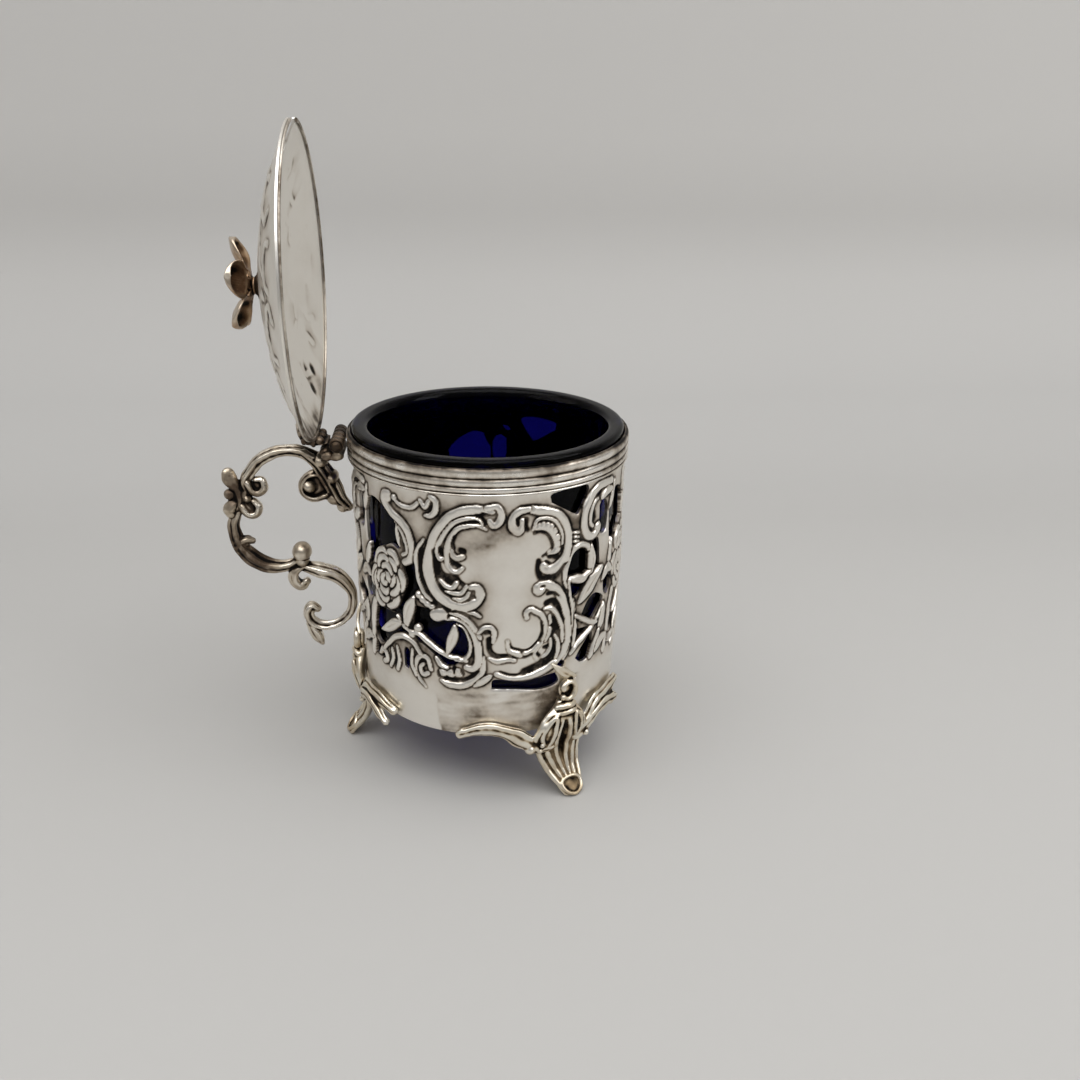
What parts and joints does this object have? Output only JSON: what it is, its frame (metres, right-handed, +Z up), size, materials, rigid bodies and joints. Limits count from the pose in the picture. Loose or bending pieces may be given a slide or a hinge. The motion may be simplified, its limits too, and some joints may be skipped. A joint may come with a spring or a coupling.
{
  "type": "mustard pot",
  "caption": "Pierced silver mustard pot on scroll feet, with a scroll handle, a hinged domed lid with a flower finial and a loose cobalt glass liner.",
  "frame": {"origin": "middle of the part's box, on the table that it stands on", "axes": "+Z up, handle and hinge towards -X, front foot towards -Y and +X"},
  "size_m": [0.079, 0.056, 0.1216],
  "materials": {
    "silver": "polished sheet silver with dark tarnish in the hollows",
    "cast_silver": "worn cast silver, brown in the hollows",
    "cobalt_glass": "polished deep cobalt glass"
  },
  "bodies": {
    "pot": {"body_wall": "silver", "rim_moulding": "silver", "base_ledge": "silver", "foot_front": "silver", "foot_back": "silver", "foot_left": "silver", "handle": "cast_silver", "hinge_bracket": "cast_silver", "hinge_knuckle_1": "cast_silver", "hinge_knuckle_3": "cast_silver", "hinge_knuckle_5": "cast_silver", "hinge_pin": "cast_silver"},
    "lid": {"lid_cover": "silver", "lid_rim": "silver", "lid_strap": "cast_silver", "hinge_knuckle_2": "cast_silver", "hinge_knuckle_4": "cast_silver", "finial_collar": "cast_silver", "finial_flower": "cast_silver"},
    "liner": {"glass_liner": "cobalt_glass"}
  },
  "joints": [
    {"name": "lid_hinge", "type": "hinge", "parent": "pot", "child": "lid", "pos_m": [-0.01605, 0, 0.06525], "axis": [0, -1, 0], "range_deg": [-90, 0]},
    {"name": "liner_lift", "type": "slide", "parent": "pot", "child": "liner", "axis": [0, 0, 1], "range_m": [0, 0.07]}
  ]
}
